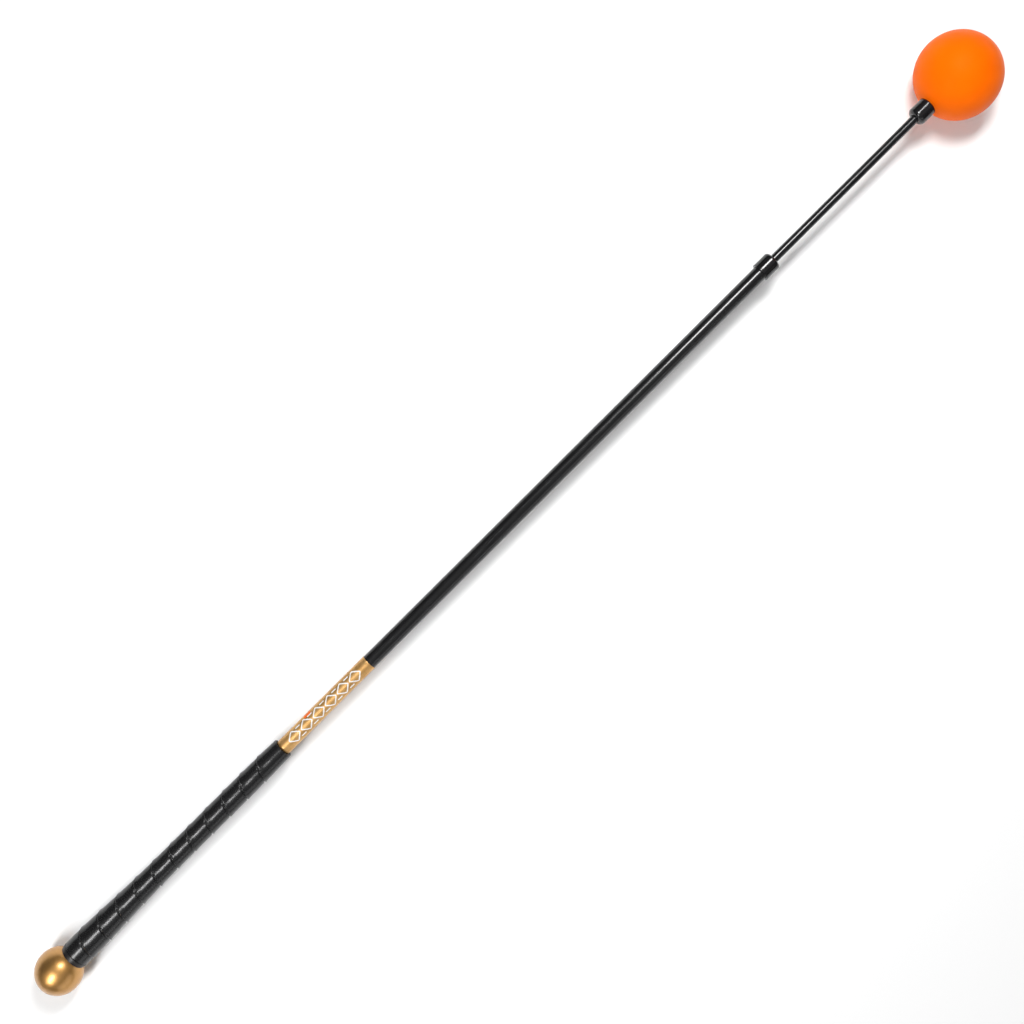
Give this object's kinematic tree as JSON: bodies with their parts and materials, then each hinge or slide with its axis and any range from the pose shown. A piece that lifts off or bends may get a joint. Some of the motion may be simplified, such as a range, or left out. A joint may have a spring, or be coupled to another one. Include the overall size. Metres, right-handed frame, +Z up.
{
  "type": "golf swing trainer stick",
  "caption": "Weighted flexible practice club: rubber grip with a steel counterweight ball, whippy shaft and a round weighted head ball.",
  "frame": {"origin": "on the ground below the middle of the stick, which lies on its two balls", "axes": "+X from the butt to the head, +Z up, +Y across the stick"},
  "size_m": [1.1048, 0.072, 0.072],
  "materials": {
    "gold_paint": "satin metallic gold paint",
    "steel": "bright zinc",
    "brass": "machined",
    "grip_rubber": "semi-gloss, fine grain",
    "tape": "matte",
    "gold_foil": "brushed metallic foil",
    "nylon": "matte",
    "black_tube": "gloss",
    "black_rod": "gloss",
    "black_vinyl": "gloss",
    "core_rubber": "matte",
    "orange_skin": "satin"
  },
  "bodies": {
    "handle": {"counterweight_ball": "gold_paint", "counterweight_stud": "steel", "seat_washer": "steel", "butt_insert": "brass", "butt_pin": "steel", "grip_end_cap": "grip_rubber", "grip": "grip_rubber", "grip_tape": "tape", "label_band": "gold_foil", "grip_bushing": "nylon"},
    "shaft_lower": {"shaft_tube": "black_tube", "lower_bushing": "nylon"},
    "shaft_upper": {"flex_rod": "black_rod", "upper_bushing": "nylon"},
    "shaft_tip": {"tip_bushing": "nylon", "tube_end_cap": "black_vinyl"},
    "head": {"ball_cap": "black_vinyl", "neck_tube": "black_tube", "rod_socket": "brass", "ball_core": "core_rubber", "ball_shell": "orange_skin"}
  },
  "joints": [
    {"name": "whip", "type": "hinge", "parent": "handle", "child": "shaft_lower", "pos_m": [-0.09166, 0, 0.02672], "axis": [0, 0, 1], "range_deg": [-7, 7], "stiffness_Nm_per_rad": 31, "deforming": ["shaft_tube", "flex_rod"]},
    {"name": "whip_middle", "type": "hinge", "parent": "shaft_lower", "child": "shaft_upper", "pos_m": [0.05999, 0, 0.02904], "axis": [0, 0, 1], "range_deg": [-7, 7], "stiffness_Nm_per_rad": 31, "deforming": ["shaft_tube", "flex_rod"]},
    {"name": "whip_upper", "type": "hinge", "parent": "shaft_upper", "child": "shaft_tip", "pos_m": [0.21164, 0, 0.03135], "axis": [0, 0, 1], "range_deg": [-7, 7], "stiffness_Nm_per_rad": 31, "deforming": ["shaft_tube", "flex_rod"]},
    {"name": "whip_rod", "type": "hinge", "parent": "shaft_tip", "child": "head", "pos_m": [0.38445, 0, 0.03399], "axis": [0, 0, 1], "range_deg": [-7, 7], "stiffness_Nm_per_rad": 31, "deforming": ["shaft_tube", "flex_rod"]}
  ],
  "couplings": [
    {"joint": "whip_middle", "follows": "whip", "ratio": 1},
    {"joint": "whip_upper", "follows": "whip", "ratio": 1},
    {"joint": "whip_rod", "follows": "whip", "ratio": 1}
  ]
}
